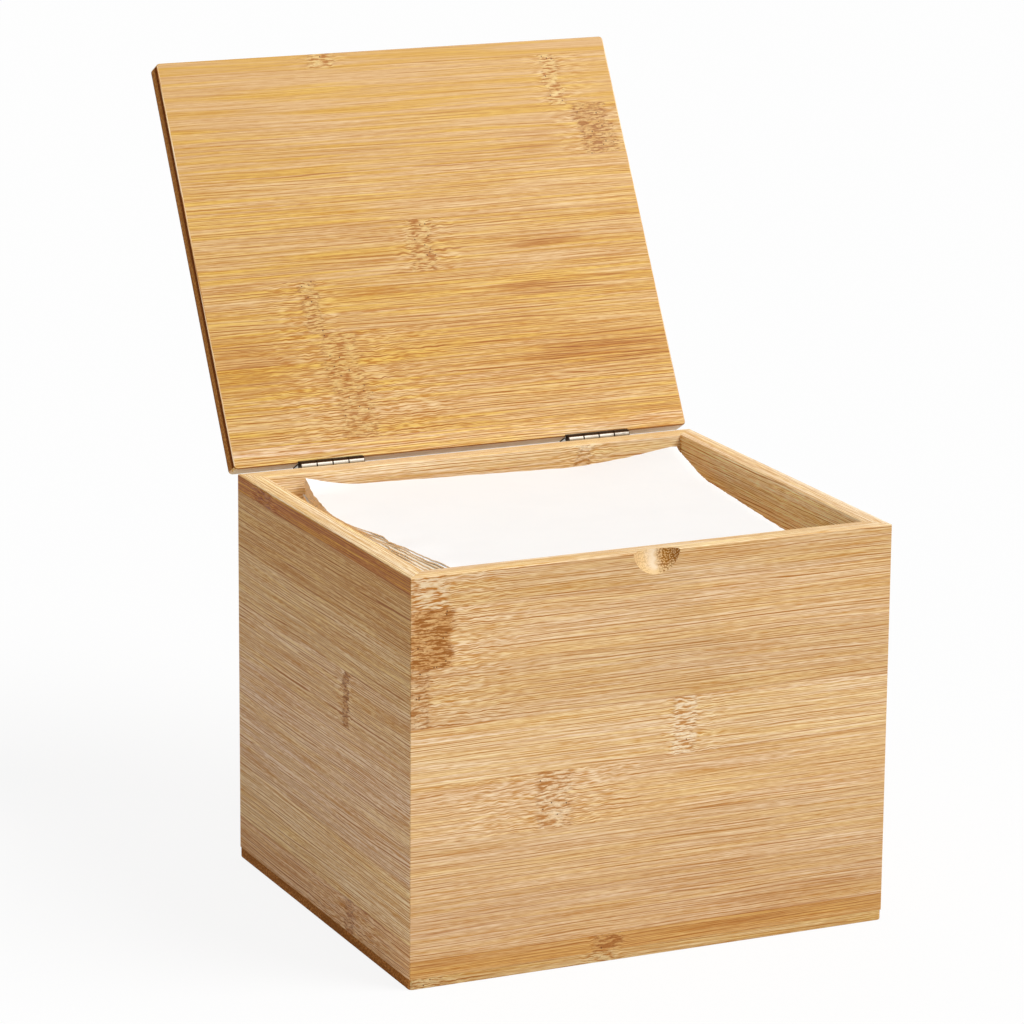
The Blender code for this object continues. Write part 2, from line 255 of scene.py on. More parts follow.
def bamboo(name, axes, seam, lots, knots=(), stains_and_shade=(), laid=None, strip=strip_width,
           vigour=(1.0, 1.0), gauge=1.0, tints=(rosy, honey), seed=0.0):
    """Lacquered bamboo strips. Axes says along, across and through, as in "XZY", and lots gives each
    strip's tint. A knot is the strip it crosses, its place along, its width, how dark it is, and how
    far the fibres ripple before and after it. A stain, or a patch of painted shade, is its place along
    and across, its half length, its half width and its strength. Vigour is how strongly the fibres
    stand out, at the first strip and at the last, gauge is how thick they are, and tints are what the cane
    wanders between."""
    finish, shader, place = new_finish(name, laid)
    along, across, through = [place.part(axis) for axis in axes]
    strips = (across - seam) / strip
    number = strips.step()
    bold = number * ((vigour[1] - vigour[0]) / len(lots)) + vigour[0]

    def fibres(length, width, shift=0.0):
        """Streaks of that size along the grain, with a pattern of its own in each strip."""
        row = (across + shift) / width + number * strip_jump
        return point(along / length, row, through / width + seed).cloud(detail=1.0)

    # Where the knots lie: their core, how dark it is, their border, and the ripple about them
    drift = (fibres(*wander) - 0.5) * wander_reach
    jag = (fibres(*fine_jag) - 0.5) * jag_reach + (fibres(*coarse_jag) - 0.5) * jag_reach
    core, ripple, dark, border = 0.0, 0.0, 0.0, 0.0
    for row, middle, width, darkness, before, after in knots:
        here = number.matches(row)
        offset = along + jag - middle
        band = here * (1 - offset.size().fade(width * 0.38, width * 0.55))
        core = band + core
        dark = band * darkness + dark
        off_edge = (offset.size() - width * 0.48).size()
        border = here * (1 - off_edge.fade(knot_border_from, knot_border_to)) + border
        ripple = here * offset.fade(-before, -width / 2) * (1 - offset.fade(width / 2, after)) + ripple

    # The grain, livelier where it ripples
    wave = (fibres(*ripple_wave) - 0.5) * wave_reach if knots else 0.0
    bend = drift + wave * ripple if knots else drift
    grain = fibres(*fine_fibre, bend) * 0.55 + fibres(*short_fibre, bend) * 0.35
    grain = grain + fibres(*long_fibre, bend) * 0.10
    if knots:
        grain = grain + (fibres(*ripple_fibre, wave) - grain) * ripple * 0.8
    lively = bold * (ripple * 0.5 + 1) if knots else bold
    grain = (grain - 0.5) * (lively * 1.6) + 0.5
    colour = grain.ramp(*fibre_colours)
    warmth = fibres(*wide_streak, drift) * 0.35 + fibres(*narrow_streak, drift) * 0.40
    warmth = warmth + fibres(*tint_cloud) * 0.25
    tint = warmth.fade(0.40, 0.60).ramp((0.0, tints[0]), (1.0, tints[1]))
    colour = colour.mixed(tint, 1.0, "MULTIPLY")

    def threads(pitch, length, half_width, strength):
        """Single dark fibres side by side, each fading in and out on its own, with pale ones beside."""
        wandering = (fibres(row_wander_length, pitch * 5, 0.2) - 0.5) * min(pitch * 4, row_wander_most)
        row = (across + bend + wandering) / pitch
        index = row.step()
        aside = (row - index - 0.5).size() * pitch
        own = point(along / length, index * fibre_jump + number * strip_jump, seed)
        own = own.cloud(detail=1.0).fade(0.46, 0.64) * bold * strength
        beside = aside.fade(half_width, half_width * 1.5)
        beside = beside * (1 - aside.fade(half_width * 2.2, half_width * 3.0))
        below = colour.mixed(cream_fibre, beside * own * 0.5)
        return below.mixed(line_brown, (1 - aside.fade(half_width * 0.4, half_width)) * own)

    for pitch, length, half_width, strength in single_fibres:
        colour = threads(pitch * gauge, length, half_width * gauge, strength)

    # The knots: pale patches, toasted where dark, with strokes, nicks and pinholes over them
    if knots:
        patch = fibres(*knot_patch, wave)

        def short_cells(length, width):
            return point(along / length + number * cell_jump, (across + wave * 0.5) / width, seed).cells()

        nick = (1 - short_cells(*long_nick).fade(0.16, 0.40)) * fibres(*nick_cloud, wave).fade(0.36, 0.52)
        nick = nick + (1 - short_cells(*short_nick).fade(0.12, 0.34)) * 0.6
        stroke = fibres(*knot_stroke, wave)
        dark_strokes = 1 - stroke.fade(0.43, 0.48)
        colour = colour.mixed(patch.ramp(*knot_colours), core * 0.45)
        colour = colour.mixed(toasted_and_shade, dark * 0.85, "MULTIPLY")
        colour = colour.mixed(bleached_fibre, stroke.fade(0.52, 0.58) * (core - dark) * 0.55)
        colour = colour.mixed(amber_brown, dark_strokes * (core - dark) * 0.9)
        colour = colour.mixed(nick_brown, dark_strokes * dark * 0.95)
        colour = colour.mixed(nick_brown, nick * core * (dark * 0.45 + 0.12))
        colour = colour.mixed(nick_brown, border * (nick + dark_strokes) * (dark * 0.6 + 0.12))
        open_here = fibres(*pinhole_cloud, 0.3).fade(0.52, 0.56)
        pinholes = (1 - short_cells(*pinhole_cell).fade(0.05, 0.09)) * core * open_here
        colour = colour.mixed(pinhole_brown, pinholes)

    # The stains and the painted shade given with them, the strips' own tints and the glue lines between
    # them
    stain_and_shade = 0.0
    for from_end, from_seam, half_length, half_width, strength in stains_and_shade:
        reach = (along - from_end) / half_length
        spread = (across - from_seam) / half_width
        stain_and_shade = (1 - (reach * reach + spread * spread).fade(0.0, 1.0)) * strength + stain_and_shade
    if stains_and_shade:
        stain_and_shade_streaks = fibres(*stain_and_shade_streak, drift + 0.2).fade(0.40, 0.55)
        colour = colour.mixed(toasted_and_shade, stain_and_shade * stain_and_shade_streaks, "MULTIPLY")
    stops = [(i / len(lots), lot) for i, lot in enumerate(lots)]
    lot = ((number + 0.5) / len(lots)).ramp(*stops, steps="CONSTANT")
    colour = colour.mixed(lot, 1.0, "MULTIPLY")
    joint = (strips - number - 0.5).size().fade(0.486, 0.5)
    colour = colour.mixed(warm_fibre, joint * 0.4, "MULTIPLY")
    colour.feeds(shader, "Base Color")
    (0.66 - grain * 0.25).feeds(shader, "Roughness")
    (grain - joint * 0.5).raises(shader, 0.08, fibre_relief)
    shader.inputs["Specular IOR Level"].default_value = 0.3
    return finish


def end_grain(name, axes, laid=None, layers=()):
    """Sawn ends of the cane, dotted with the fibre bundles. Axes says the end's two ways, and layers
    the tints through the board's thickness."""
    finish, shader, place = new_finish(name, laid)
    wide, high = [place.part(axis) for axis in axes]
    bundle = point(wide / bundle_width, high / bundle_height, 0.0).cells()
    shade = point((wide / strip_width).step(), high / end_shade_height, 0.0).cloud()
    colour = bundle.ramp((0.18, burnt_fibre), (0.38, end_brown), (0.8, end_tan))
    colour = colour.mixed(burnt_fibre, shade.fade(0.40, 0.65) * 0.6)
    if layers:
        low, high_end, tints = layers
        depth = (high - low) / (high_end - low)
        colour = colour.mixed(depth.ramp(*tints), 1.0, "MULTIPLY")
    colour.feeds(shader, "Base Color")
    shader.inputs["Roughness"].default_value = 0.7
    shader.inputs["Specular IOR Level"].default_value = 0.03
    bundle.raises(shader, 0.4, end_relief)
    return finish


def board(name, low, high):
    """A sawn board: a cube added at its size and place."""
    bpy.ops.object.select_all(action="DESELECT")
    size = Vector(high) - Vector(low)
    bpy.ops.mesh.primitive_cube_add(size=1, location=(Vector(high) + Vector(low)) / 2, scale=size)
    piece = bpy.context.object
    piece.name = name
    bpy.ops.object.transform_apply()
    return piece


def select(piece, kind, wanted):
    """Opens a piece in edit mode with only the wanted edges or faces selected."""
    if bpy.context.mode != "OBJECT":
        bpy.ops.object.mode_set(mode="OBJECT")
    bpy.ops.object.select_all(action="DESELECT")
    piece.select_set(True)
    bpy.context.view_layer.objects.active = piece
    bpy.ops.object.mode_set(mode="EDIT")
    bpy.ops.mesh.select_mode(type=kind)
    bpy.ops.mesh.select_all(action="DESELECT")
    shape = bmesh.from_edit_mesh(piece.data)
    for part in shape.edges if kind == "EDGE" else shape.faces:
        if wanted(part):
            part.select_set(True)
    bmesh.update_edit_mesh(piece.data)


def run_of(edge):
    return (edge.verts[1].co - edge.verts[0].co).normalized()


def upright(edge):
    return abs(run_of(edge).z) > 0.9


def level_edge(edge):
    return abs(run_of(edge).z) < 0.1


def lengthwise(edge):
    return abs(run_of(edge).x) > 0.9


def middle_of(edge):
    return (edge.verts[0].co + edge.verts[1].co) / 2


def close_edit(piece, finishes, chosen):
    """Leaves edit mode, smooths what is round, and gives each face the finish chosen by its normal."""
    bpy.ops.object.mode_set(mode="OBJECT")
    bpy.ops.object.shade_smooth_by_angle(angle=flat_angle)
    for finish in finishes:
        piece.data.materials.append(finish)
    for face in piece.data.polygons:
        face.material_index = chosen(face)


base_low, base_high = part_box("base_board")
wall_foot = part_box("front_wall")[0].z
joint_height = (base_high.z + wall_foot) / 2
base = board("base", base_low, (base_high.x, base_high.y, joint_height))
select(base, "EDGE", upright)
bpy.ops.mesh.bevel(offset=base_corner_round, segments=4)
select(base, "EDGE", lambda edge: level_edge(edge) and middle_of(edge).z < base_low.z + glue_edge_round)
bpy.ops.mesh.bevel(offset=foot_edge_round, segments=2)
base_lots = (plain_lot, tan_lot, plain_lot, dull_lot, plain_lot, pale_lot, tan_lot, plain_lot)
base_knots = ((0, -0.020, 0.010, 0.2, 0.012, 0.012), (0, -0.086, 0.012, 0.2, 0.03, 0.02))
base_layers = (base_low.z, base_high.z, ((0.0, end_lot), (1.0, end_lot)))
base_front_seam = -0.010
base_faces = bamboo("base_faces", "XYZ", base_low.y, base_lots, seed=3.1)
base_front = bamboo("base_front", "XZY", base_front_seam, (golden_lot,), base_knots, seed=4.2)
base_ends = end_grain("base_ends", "YZ", layers=base_layers)
close_edit(
    base,
    (base_faces, base_front, base_ends),
    lambda face: 2 if abs(face.normal.x) > 0.7 else 1 if abs(face.normal.y) > 0.6 else 0,
)
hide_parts("base_board")
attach(base, "box")

# Four walls: bamboo boards with their grain level, mitred at the corners and glued.
# Their long edges are eased before they are cut, and the corners of the box afterwards.
rim_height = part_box("front_wall")[1].z
box_low, box_high = base_low, base_high
box_width = box_high.x - box_low.x
box_depth = box_high.y - box_low.y
wall_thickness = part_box("front_wall")[1].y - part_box("front_wall")[0].y
rim_edge_round = 0.0006
corner_ease = 0.00035
edge_band = 0.001
front_top_strip, side_top_strip, whole_strips = 0.0120, 0.0060, 7
front_seam = rim_height - front_top_strip - whole_strips * strip_width
side_seam = rim_height - side_top_strip - whole_strips * strip_width

# Each wall's strips from the foot up, and the knots and stains of the cane in them
front_lots = (deep_lot, dull_lot, tan_lot, plain_lot, pale_lot, tan_lot, plain_lot, tan_lot)
front_knots = (
    (0, -0.017, 0.011, 0.5, 0.010, 0.010),
    (3, -0.038, 0.013, 0.25, 0.070, 0.050),
    (4, 0.0120, 0.009, 0.1, 0.012, 0.025),
    (5, -0.089, 0.008, 0.5, 0.010, 0.060),
    (6, -0.0845, 0.016, 1.0, 0.010, 0.055),
    (7, -0.0855, 0.014, 0.0, 0.010, 0.050),
)
front_stains = ((0.060, 0.0165, 0.045, 0.004, 0.8), (0.050, 0.009, 0.060, 0.003, 0.8))
left_lots = (warm_lot, mellow_lot, rosy_lot, rosy_lot, russet_lot, amber_lot, honey_lot, dark_lot)
left_knots = (
    (0, -0.026, 0.008, 0.6, 0.060, 0.060),
    (4, -0.023, 0.005, 1.0, 0.010, 0.016),
    (7, 0.054, 0.014, 0.5, 0.020, 0.020),
)
left_stains = ((0.0, rim_height - 0.003, 0.30, 0.0046, 1.5),)
back_lots = (tan_lot, plain_lot, pale_lot, tan_lot, dull_lot, plain_lot, tan_lot, plain_lot)
back_knots = ((5, -0.030, 0.010, 0.4, 0.040, 0.030), (2, 0.060, 0.010, 0.0, 0.030, 0.040))
right_lots = (tan_lot, plain_lot, dull_lot, plain_lot, pale_lot, plain_lot, plain_lot, pale_lot)
right_knots = ((4, 0.020, 0.009, 0.4, 0.030, 0.020), (1, -0.040, 0.010, 0.0, 0.030, 0.045))

# Inside, the cane is bare and pale, and painted paler still as light bounced off the tissues, palest, as
# painted light, in the strips that the light from above reaches
bare_top_painted_light, bare_low_painted_light = (1.22, 1.38, 1.60), (1.14, 1.18, 1.20)
bare_side_top_painted_light, bare_side_low_painted_light = (1.38, 1.58, 1.75), (1.28, 1.28, 1.15)
long_inner_lots = (bare_low_painted_light,) * 6 + (bare_top_painted_light,) * 2
short_inner_lots = (bare_side_low_painted_light,) * 7 + (bare_side_top_painted_light,)
inner_knots = ((7, 0.045, 0.006, 0.3, 0.018, 0.022), (6, 0.043, 0.007, 0.3, 0.018, 0.022))
# Painted shade: a dark line down the side walls' inner faces where they meet the back wall
inner_corner_painted_shade = (box_high.y - wall_thickness, rim_height - 0.010, 0.0016, 0.030, 3.0)

# The rims show each board's thickness in two layers of cane
rim_lot, rim_lot_pale, rim_lot_palest = (1.16, 1.24, 1.36), (1.24, 1.38, 1.58), (1.30, 1.50, 1.80)
rim_layer = wall_thickness / 2


def mitred_wall(name, length, distance, turn):
    """A wall with its outer face to the front, cut at 45 degrees at both ends, then turned into place."""
    low = (-length / 2, -distance, joint_height)
    wall = board(name, low, (length / 2, wall_thickness - distance, rim_height))
    select(wall, "EDGE", lambda edge: lengthwise(edge) and middle_of(edge).z > rim_height - edge_band)
    bpy.ops.mesh.bevel(offset=rim_edge_round, segments=3)
    select(wall, "EDGE", lambda edge: lengthwise(edge) and middle_of(edge).z < joint_height + edge_band)
    bpy.ops.mesh.bevel(offset=glue_edge_round, segments=1)
    for side in (-1, 1):
        corner = Vector((side * length / 2, -distance, 0))
        bpy.ops.mesh.select_all(action="SELECT")
        bpy.ops.mesh.bisect(plane_co=corner, plane_no=(side, 1, 0), use_fill=True, clear_outer=True)
        ease = corner + Vector((-side * corner_ease, 0, 0))
        bpy.ops.mesh.select_all(action="SELECT")
        bpy.ops.mesh.bisect(plane_co=ease, plane_no=(side, -1, 0), use_fill=True, clear_outer=True)
    bpy.ops.object.mode_set(mode="OBJECT")
    wall.rotation_euler.z = turn
    bpy.ops.object.transform_apply()
    return wall


def cut_from(piece, cutter):
    """Takes the cutter's shape out of a piece."""
    bpy.context.view_layer.objects.active = piece
    cut = piece.modifiers.new("cut", "BOOLEAN")
    cut.object = cutter
    cut.solver = "EXACT"
    bpy.ops.object.modifier_apply(modifier="cut")
    bpy.data.objects.remove(cutter)


def finish_wall(wall, node, faces, rim, inner, inward, dish=None):
    """Inward is the way that the wall's bare inner face looks."""
    select(wall, "FACE", lambda face: False)
    close_edit(
        wall,
        (faces, rim, inner, dish or faces),
        lambda face: (
            3 if dish and in_scoop(face)
            else 2 if face.normal.dot(inward) > 0.9
            else 1 if face.normal.z > 0.5 else 0
        ),
    )
    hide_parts(node)
    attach(wall, "box")


front = mitred_wall("front", box_width, box_depth / 2, 0)
right = mitred_wall("right", box_depth, box_width / 2, math.pi / 2)
back = mitred_wall("back", box_width, box_depth / 2, math.pi)
left = mitred_wall("left", box_depth, box_width / 2, -math.pi / 2)

front_rim = bamboo("front_rim", "XYZ", box_low.y, (rim_lot_pale, rim_lot), strip=rim_layer, seed=5.0)
back_rim = bamboo(
    "back_rim", "XYZ", box_high.y - wall_thickness, (rim_lot_pale, rim_lot_pale), strip=rim_layer, seed=6.0,
)
left_rim = bamboo(
    "left_rim", "YXZ", box_low.x, (rim_lot_pale, rim_lot_palest), strip=rim_layer, seed=7.0,
)
right_rim = bamboo(
    "right_rim", "YXZ", box_high.x - wall_thickness, (rim_lot, rim_lot_pale), strip=rim_layer, seed=8.0,
)
front_face = bamboo(
    "front_face", "XZY", front_seam, front_lots, front_knots, front_stains, vigour=(0.78, 1.08), seed=0.4,
)
left_face = bamboo(
    "left_face", "YZX", side_seam, left_lots, left_knots, left_stains, vigour=(1.75, 1.75), gauge=0.9,
    seed=1.7,
)
back_face = bamboo("back_face", "XZY", side_seam, back_lots, back_knots, seed=2.2)
right_face = bamboo("right_face", "YZX", front_seam, right_lots, right_knots, seed=9.3)
long_inner = bamboo("long_inner", "XZY", side_seam, long_inner_lots, inner_knots, seed=2.8)
short_inner = bamboo(
    "short_inner", "YZX", front_seam, short_inner_lots, stains_and_shade=(inner_corner_painted_shade,), seed=9.7,
)

# Finger scoop: a shallow dish milled into the middle of the front wall's outer top edge.
# The cutter crosses the fibres, so the dish shows their ends as dots towards its two sides.
scoop_cutter_radius = 0.015
scoop_half_width = 0.009
scoop_centre_rise = 0.0006
scoop_reach = math.sqrt(scoop_cutter_radius**2 - scoop_half_width**2)
scoop_centre = Vector((0, box_low.y - scoop_reach, rim_height + scoop_centre_rise))
scoop_face_slack = 0.0002

# The milled cane from left to right: amber, a cream painted sheen, then the brown of the cut fibres,
# deepened by painted shade on the side away from the lamp
milled_amber, milled_painted_sheen, milled_edge = (0.83, 0.57, 0.28), (0.91, 0.72, 0.50), (0.84, 0.58, 0.28)
milled_brown, milled_painted_shade_dark, dot_brown = (0.55, 0.26, 0.05), (0.34, 0.13, 0.02), (0.28, 0.10, 0.012)
dish_tones_and_painted_light = (
    (0.0, ground_fibre), (0.26, milled_amber), (0.48, milled_painted_sheen), (0.58, pale_fibre),
    (0.70, milled_brown), (0.90, milled_painted_shade_dark),
)
dot_width, dot_height = 0.00072, 0.00050
lip_ring_from, lip_ring_to = 0.0068, 0.0082
lip_depth_from, lip_depth_to = 0.004, 0.007

bpy.ops.object.select_all(action="DESELECT")
bpy.ops.mesh.primitive_uv_sphere_add(
    segments=192, ring_count=96, radius=scoop_cutter_radius, location=scoop_centre,
)
cut_from(front, bpy.context.object)

scoop_dish, dish_shader, dish_place = new_finish("scoop_dish")
dish_x, dish_z = dish_place.part("X"), dish_place.part("Z")
dish_drop = dish_z - scoop_centre.z
from_middle = (dish_x * dish_x + dish_drop * dish_drop).power(0.5)
dish_cell = point(dish_x / dot_width, dish_z / dot_height, 0.0)
dish_dots = dish_cell.cells()
dish_slope = dish_x / scoop_half_width
# Painted light by place across the dish: lit on its left, a painted sheen in the middle, painted shade on
# its right
dish_light_and_tone = dish_slope * 0.5 + dish_cell.cloud(0.35, 2.0) * 0.22 + 0.39
dish_low = (0 - dish_drop).fade(lip_depth_from, lip_depth_to)
dish_lip = from_middle.fade(lip_ring_from, lip_ring_to) * dish_low * 0.85
dish_ground = dish_light_and_tone.ramp(*dish_tones_and_painted_light).mixed(milled_edge, dish_lip)
dish_dotted = dish_slope.size().fade(0.0, 0.45) * 0.30 + dish_slope.fade(0.0, 0.25) * 0.55
dish_pale_dots = (1 - dish_dots.fade(0.12, 0.38)) * dish_slope.fade(0.05, 0.30) * 0.80
dish_colour = dish_ground.mixed(pale_fibre, dish_pale_dots)
dish_colour = dish_colour.mixed(dot_brown, dish_dots.fade(0.34, 0.62) * dish_dotted)
dish_colour.feeds(dish_shader, "Base Color")
dish_shader.inputs["Roughness"].default_value = 0.6
dish_shader.inputs["Specular IOR Level"].default_value = 0.1


def in_scoop(face):
    from_sphere = abs((face.center - scoop_centre).length - scoop_cutter_radius)
    return from_sphere < scoop_face_slack and face.normal.y < 0.2


finish_wall(front, "front_wall", front_face, front_rim, long_inner, Vector((0, 1, 0)), scoop_dish)
finish_wall(back, "back_wall", back_face, back_rim, long_inner, Vector((0, -1, 0)))
finish_wall(left, "left_wall", left_face, left_rim, short_inner, Vector((1, 0, 0)))
finish_wall(right, "right_wall", right_face, right_rim, short_inner, Vector((-1, 0, 0)))

# Hinge leaves, pins and screws: plated steel, screwed to the back of the wall and to the lid's edge.
# The frame's own shapes stay, and get the satin of worn plating.
leaf_plating = (0.56, 0.52, 0.45)
screw_plating = (0.60, 0.57, 0.51)
tarnish = (0.16, 0.12, 0.08)
# Near-black painted shade for the knuckles' joints, tops and ends
knuckle_painted_shade = (0.025, 0.011, 0.004)
knuckle_count = 4
wear_scale, rub_scale, wear_relief = 900.0, 160.0, 0.00005

# Heights above the pins at which a barrel's top is painted near-black as shade, and below which it is
# painted darker
barrel_top_from, barrel_top_to = 0.0007, 0.0011
barrel_foot_from, barrel_foot_to = -0.0003, 0.0002


def plated_steel(name, colour, roughness, barrel=None):
    """Plated steel. Barrel is where along X the knuckles begin, their pitch and the pins' height: the
    joints between them, their sawn ends and their tops are painted dark as shade, and below the pins it is
    darker."""
    finish, shader, place = new_finish(name)
    worn = place.cloud(wear_scale, 4.0)
    rubbed = place.cloud(rub_scale, 2.0)
    metal = rubbed.ramp((0.0, colour), (1.0, colour)).mixed(tarnish, rubbed.fade(0.52, 0.74) * 0.6)
    if barrel:
        start, pitch, height = barrel
        knuckles = (place.part("X") - start) / pitch
        joint_painted_shade = (knuckles - knuckles.step() - 0.5).size().fade(0.445, 0.475)
        up = place.part("Z") - height
        top_painted_shade = up.fade(barrel_top_from, barrel_top_to)
        darker_below_pins = 1 - up.fade(barrel_foot_from, barrel_foot_to)
        facing = place.node("ShaderNodeNewGeometry", {}, {}, "Normal")
        end_painted_shade = facing.part("X").size().fade(0.7, 0.9)
        # Painted shade: the joints between the knuckles, the barrels' tops under the lid and the end faces
        # go near-black; below the pins it is darker
        metal = metal.mixed(knuckle_painted_shade, joint_painted_shade * 0.95).mixed(knuckle_painted_shade, top_painted_shade)
        metal = metal.mixed(tarnish, darker_below_pins * 0.4).mixed(knuckle_painted_shade, end_painted_shade)
    metal.feeds(shader, "Base Color")
    (worn * 0.25 + roughness).feeds(shader, "Roughness")
    shader.inputs["Metallic"].default_value = 1.0
    worn.raises(shader, 0.2, wear_relief)
    return finish


screw_steel = plated_steel("screw_steel", screw_plating, 0.30)
for side in ("left", "right"):
    leaf_low, leaf_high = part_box(f"{side}_hinge_wall_leaf")
    pin_low, pin_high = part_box(f"{side}_hinge_pin")
    knuckle_pitch = (leaf_high.x - leaf_low.x) / knuckle_count
    barrel = (leaf_low.x, knuckle_pitch, (pin_low.z + pin_high.z) / 2)
    leaf_steel = plated_steel(f"{side}_leaf_steel", leaf_plating, 0.22, barrel)
    for node_name, node in frame["nodes"].items():
        if node_name.startswith(f"{side}_hinge"):
            node.data.materials.clear()
            node.data.materials.append(screw_steel if "screw" in node_name else leaf_steel)

# Lid: a full-size bamboo panel with eased edges, hung on the two hinges at the back of the box.
# It is shaped closed, as it came off the saw, then swung open about the pins. Its back edge
# reaches a little past the wall and is let in for the hinges, so little shows of the gap there.
hinge = frame["joints"][0]
pin_line = Vector(hinge["pos_m"])
open_angle = math.radians(hinge["range_deg"][1])
lid_thickness = 0.007
lid_rest_gap = 0.0003
lid_heel_reach = 0.0008
recess_clearance = 0.0003
recess_cutter_depth, cutter_overrun = 0.01, 0.001
lid_low = Vector((box_low.x, box_low.y, rim_height + lid_rest_gap))
lid_high = Vector((box_high.x, box_high.y, rim_height + lid_rest_gap + lid_thickness))
lid = board("lid", lid_low, lid_high + Vector((0, lid_heel_reach, 0)))
select(lid, "EDGE", upright)
bpy.ops.mesh.bevel(offset=base_corner_round, segments=5)
select(lid, "EDGE", level_edge)
bpy.ops.mesh.bevel(offset=foot_edge_round, segments=3)
bpy.ops.object.mode_set(mode="OBJECT")
for side in ("left", "right"):
    leaf_low, leaf_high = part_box(f"{side}_hinge_wall_leaf")
    cutter_low = (leaf_low.x - recess_clearance, lid_high.y, lid_low.z - cutter_overrun)
    cutter_back = lid_high.y + recess_cutter_depth
    cutter_high = (leaf_high.x + recess_clearance, cutter_back, lid_high.z + cutter_overrun)
    cut_from(lid, board("recess_cutter", cutter_low, cutter_high))
select(lid, "FACE", lambda face: False)

# The Mapping node that puts a point of the open lid back to where it was when closed
turned_y = pin_line.y * math.cos(open_angle) - pin_line.z * math.sin(open_angle)
turned_z = pin_line.y * math.sin(open_angle) + pin_line.z * math.cos(open_angle)
swing = ((0, pin_line.y - turned_y, pin_line.z - turned_z), (open_angle, 0, 0))

# The lid's strips from its front edge back, warmer and livelier towards the hinges
lid_lot, lid_pale_lot, lid_mid_lot = (0.95, 0.87, 0.57), (0.965, 0.89, 0.585), (0.93, 0.84, 0.53)
lid_deep_lot, lid_last_lot = (0.917, 0.805, 0.457), (1.08, 1.09, 1.04)
lid_lots = (
    lid_lot, lid_pale_lot, lid_lot, lid_pale_lot, lid_mid_lot, lid_mid_lot, lid_deep_lot, lid_lot,
    lid_last_lot,
)
lid_knots = (
    (0, -0.026, 0.011, 0.1, 0.020, 0.020),
    (1, 0.067, 0.007, 0.1, 0.015, 0.030),
    (2, 0.081, 0.014, 0.6, 0.025, 0.020),
    (4, -0.001, 0.010, 0.2, 0.015, 0.025),
    (5, -0.050, 0.007, 0.3, 0.030, 0.015),
    (6, -0.042, 0.015, 0.2, 0.050, 0.060),
    (7, -0.040, 0.014, 0.3, 0.050, 0.060),
)
lid_stains = (
    (0.045, 0.001, 0.026, 0.005, 0.9),
    (0.045, 0.020, 0.026, 0.004, 0.9),
    (0.052, -0.038, 0.016, 0.005, 0.8),
    (0.065, 0.047, 0.050, 0.010, 0.9),
    (-0.085, 0.040, 0.030, 0.014, 0.5),
)
lid_first_strip = 0.0060
lid_seam = lid_low.y + lid_first_strip - strip_width
rosier, golden = (1.005, 1.035, 1.42), (0.985, 0.93, 0.50)

# The lid's edges each lie in one strip, whose seam is well below them
edge_seam, arris_seam, arris_strip = 0.14, -0.14, 0.28
# Painted light: the back edge is tinted pale mauve-grey, as if lit by the white backdrop
edge_lot, back_edge_painted_light = (1.0, 1.0, 1.0), (1.16, 1.45, 2.05)
# The heel, the eased edge under the lid's back, is painted dark brown as the shade along the lid's lower
# edge
heel_painted_shade, arris_lot = (0.50, 0.30, 0.12), (1.22, 1.30, 1.45)
lid_layers = (
    (0.0, (0.55, 0.30, 0.08)), (0.28, (0.54, 0.29, 0.08)), (0.42, (1.40, 1.28, 0.88)),
    (0.84, (1.36, 1.24, 0.86)), (0.96, (0.5, 0.4, 0.3)),
)
lid_faces = bamboo(
    "lid_faces", "XYZ", lid_seam, lid_lots, lid_knots, lid_stains, laid=swing, vigour=(0.25, 1.60),
    tints=(rosier, golden), seed=11.0,
)
lid_front = bamboo("lid_front", "XZY", edge_seam, (edge_lot,), laid=swing, seed=12.0)
# The lid's back edge, with painted light from the backdrop
lid_back_painted_light = bamboo(
    "lid_back_painted_light", "XZY", edge_seam, (back_edge_painted_light,), laid=swing, vigour=(0.4, 0.4), seed=12.5,
)
# Painted shade on the heel under the lid's back edge
lid_heel_painted_shade = bamboo("lid_heel_painted_shade", "XZY", edge_seam, (heel_painted_shade,), laid=swing, vigour=(0.4, 0.4), seed=12.7)
lid_arris = bamboo(
    "lid_arris", "YXZ", arris_seam, (arris_lot,), laid=swing, strip=arris_strip, seed=13.0,
)
lid_ends = end_grain("lid_ends", "YZ", laid=swing, layers=(lid_low.z, lid_high.z, lid_layers))
close_edit(
    lid,
    (lid_faces, lid_front, lid_ends, lid_arris, lid_back_painted_light, lid_heel_painted_shade),
    lambda face: (
        2 if abs(face.normal.x) > 0.94
        else 3 if abs(face.normal.x) > 0.2 and abs(face.normal.y) < 0.1
        else 1 if face.normal.y < -0.8 else 4 if face.normal.y > 0.8
        else 5 if face.normal.y > 0.2 and face.normal.z < 0 else 0
    ),
)
bpy.context.scene.cursor.location = pin_line
bpy.ops.object.origin_set(type="ORIGIN_CURSOR")
lid.rotation_euler.x = -open_angle
bpy.ops.object.transform_apply()
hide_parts("lid_board")
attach(lid, "lid")

# Pile of tissues: about eighty of them, each folded to a soft bundle, and put in a little askew.
# Only the top of the pile shows over the rim, and its sides show down the gaps beside it.
bundle_pitch = 0.0017
bundle_swell = 0.00035
bundle_sway = 0.0005
rows_per_bundle = 4
cells_round_pile = 24
loose_depth = 0.0052
pile_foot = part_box("tissue_stack")[0].z
pile_turn = math.radians(-5.8)
pile_middle = Vector((-0.00415, -0.0005, 0))
pile_width = 0.1450
pile_depth = 0.1250
pile_headroom = 0.0050
level = rim_height - pile_headroom
side_slack = 0.00001

tissue_white, tissue_shade = (0.965, 0.952, 0.940), (0.955, 0.942, 0.930)
